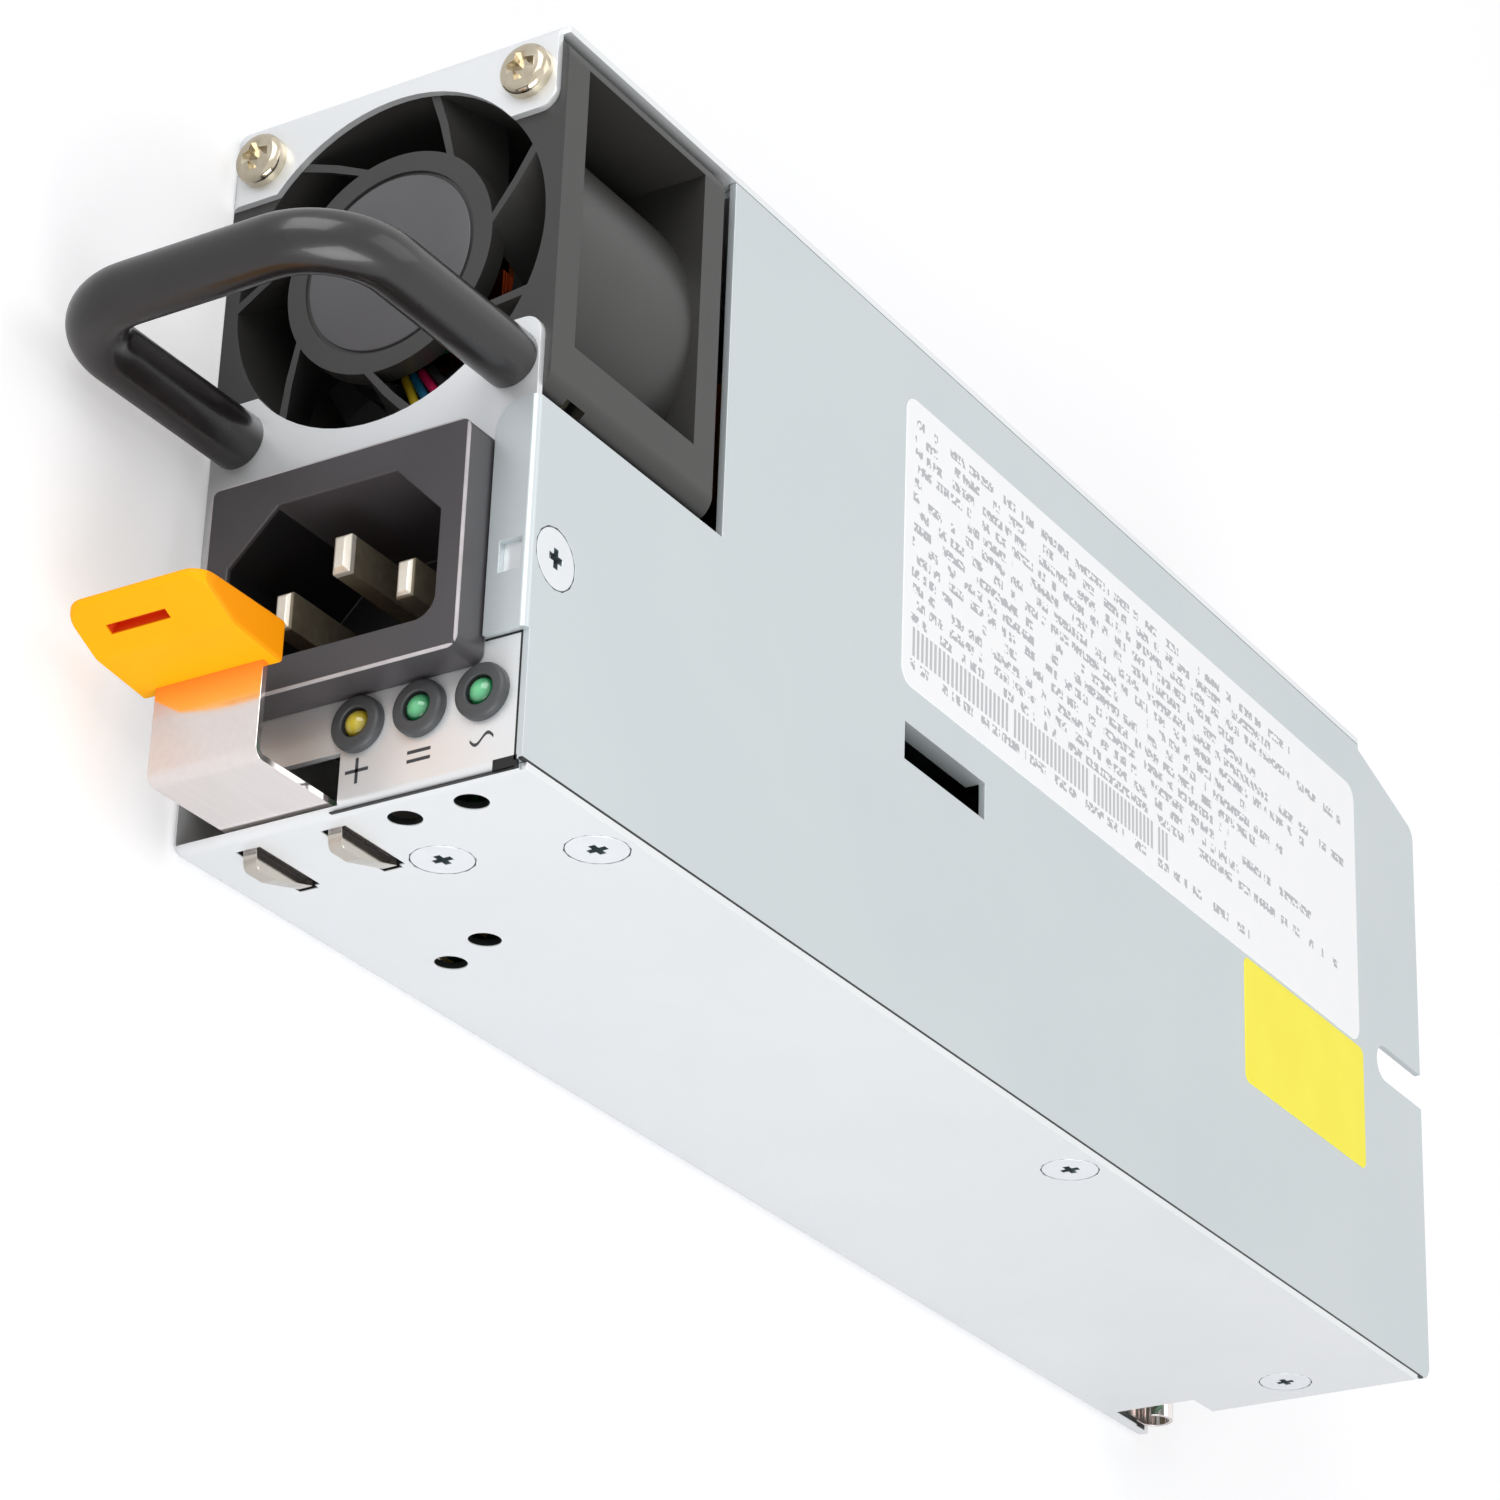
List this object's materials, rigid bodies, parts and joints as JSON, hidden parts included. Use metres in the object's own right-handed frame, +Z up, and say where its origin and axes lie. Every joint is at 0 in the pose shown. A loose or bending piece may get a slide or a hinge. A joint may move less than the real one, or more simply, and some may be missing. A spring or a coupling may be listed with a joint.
{
  "type": "server power supply",
  "caption": "Slim plug-in server power supply: folded sheet case, fan, mains inlet, bail handle, status lamps, sprung release latch and rear card edge.",
  "frame": {"origin": "centre of the case's underside, lying flat with the label side up", "axes": "+X from the fan side to the latch side, +Y from the front with the handle to the card edge at the rear, +Z up to the label side"},
  "size_m": [0.0816, 0.2237, 0.04],
  "materials": {
    "zinc_sheet": "pale zinc-plated sheet steel, fine even grain",
    "spring_steel": "bright stainless spring strip",
    "steel": "ground steel",
    "nickel": "nickel plate, slightly warm",
    "black_plastic": "moulded black plastic with fine grain",
    "inlet_plastic": "moulded black thermoplastic, satin",
    "white_plastic": "natural nylon",
    "orange_plastic": "moulded orange plastic, satin",
    "black_coat": "satin black coating over round steel bar",
    "lamp_amber": "diffused amber lens",
    "lamp_green": "diffused green lens",
    "lead_plastic": "plastic wire insulation",
    "board_green": "glass-fibre board with green resist",
    "gold": "gold plate over copper",
    "brass": "turned brass",
    "copper": "enamelled copper wire",
    "ferrite": "dark sintered ferrite",
    "tape_yellow": "yellow polyester tape and case",
    "aluminium": "extruded aluminium",
    "sleeve_dark": "shrink sleeve over aluminium can",
    "insulator_film": "translucent polyester film",
    "fuse_ceramic": "ceramic tube with end caps"
  },
  "bodies": {
    "chassis": {"tray": "zinc_sheet", "cover": "zinc_sheet", "rear_grille": "zinc_sheet", "fan_frame": "black_plastic", "fan_bearing": "brass", "fan_stator": "copper", "fan_circuit": "board_green", "fan_leads": "lead_plastic", "fan_plug": "white_plastic", "fan_screws": "nickel", "handle": "black_coat", "handle_nuts": "nickel", "inlet_housing": "inlet_plastic", "inlet_earth_pin": "nickel", "inlet_line_pin": "nickel", "inlet_neutral_pin": "nickel", "inlet_leads": "lead_plastic", "lamp_bezels": "black_plastic", "lamp_fault": "lamp_amber", "lamp_output": "lamp_green", "lamp_input": "lamp_green", "lamp_board": "board_green", "lamp_bracket": "zinc_sheet", "latch_foot": "spring_steel", "wall_screws": "nickel", "cover_screw": "nickel", "main_board": "board_green", "edge_contacts": "gold", "board_standoffs": "brass", "board_screws": "nickel", "insulating_sheet": "insulator_film", "bulk_capacitors": "sleeve_dark", "choke_core": "ferrite", "choke_winding": "copper", "transformer_core": "ferrite", "transformer_winding": "tape_yellow", "primary_heat_sink": "aluminium", "secondary_heat_sink": "aluminium", "bridge_rectifier": "black_plastic", "line_capacitor": "tape_yellow", "line_choke_core": "ferrite", "line_choke_winding": "copper", "relay": "black_plastic", "fuse": "fuse_ceramic", "control_card": "board_green", "control_chips": "black_plastic", "output_capacitors": "sleeve_dark", "rear_clip": "spring_steel"},
    "latch": {"latch_spring": "spring_steel", "latch_tab": "orange_plastic"},
    "rotor": {"fan_rotor": "black_plastic", "fan_shaft": "steel", "fan_magnet": "ferrite"}
  },
  "joints": [
    {"name": "fan_spin", "type": "hinge", "parent": "chassis", "child": "rotor", "pos_m": [-0.0192, -0.078, 0.02], "axis": [0, 1, 0], "continuous": true},
    {"name": "latch_press", "type": "hinge", "parent": "chassis", "child": "latch", "pos_m": [0.0386, -0.07, 0.0125], "axis": [0, 0, -1], "range_deg": [0, 5], "stiffness_Nm_per_rad": 6}
  ]
}
